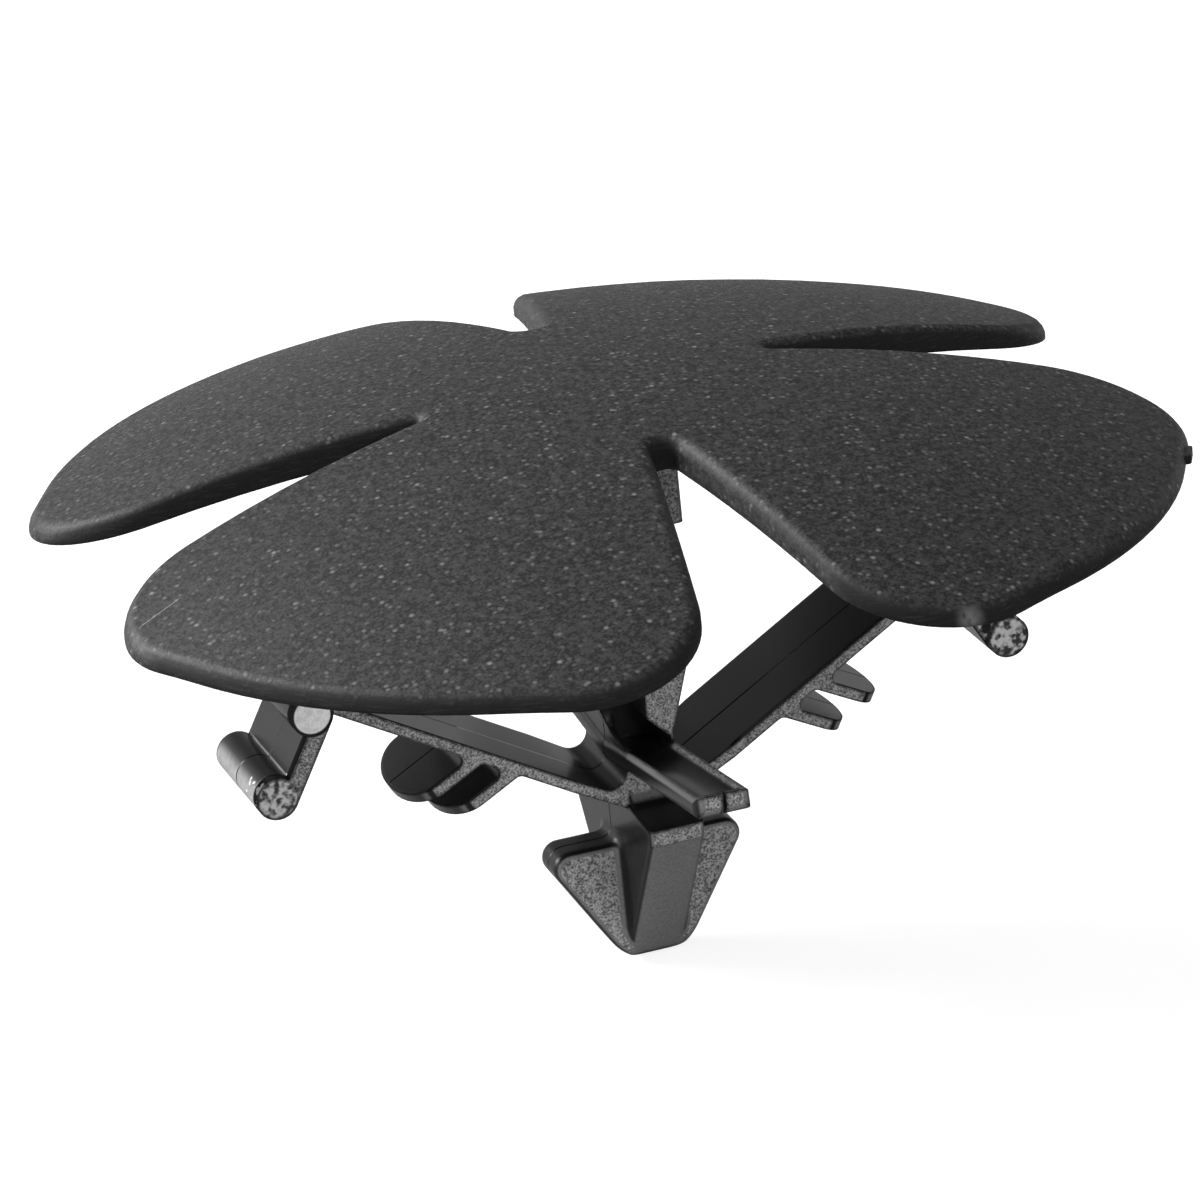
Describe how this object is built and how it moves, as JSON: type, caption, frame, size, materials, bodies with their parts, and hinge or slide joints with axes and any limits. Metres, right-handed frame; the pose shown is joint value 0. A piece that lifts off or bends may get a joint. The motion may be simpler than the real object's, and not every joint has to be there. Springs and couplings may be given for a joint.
{
  "type": "retainer clip",
  "caption": "Moulded push-in retainer clip: domed petal head on a short shank, sprung side arms and bearing bars, and an arrow-shaped anchor for a panel hole.",
  "frame": {"origin": "on the shank's axis, at the level of the catch shoulders that bear on the far side of the panel", "axes": "+X along the two spring arms, +Y along the bearing bars, +Z from the arrow's tip up through the head"},
  "size_m": [0.0536, 0.0546, 0.0311],
  "materials": {
    "black_plastic": "moulded black plastic: fine leather grain on the head's top, spark texture on the faces that look along Y, smooth elsewhere"
  },
  "bodies": {
    "root": {"retainer_clip": "black_plastic"}
  },
  "joints": []
}
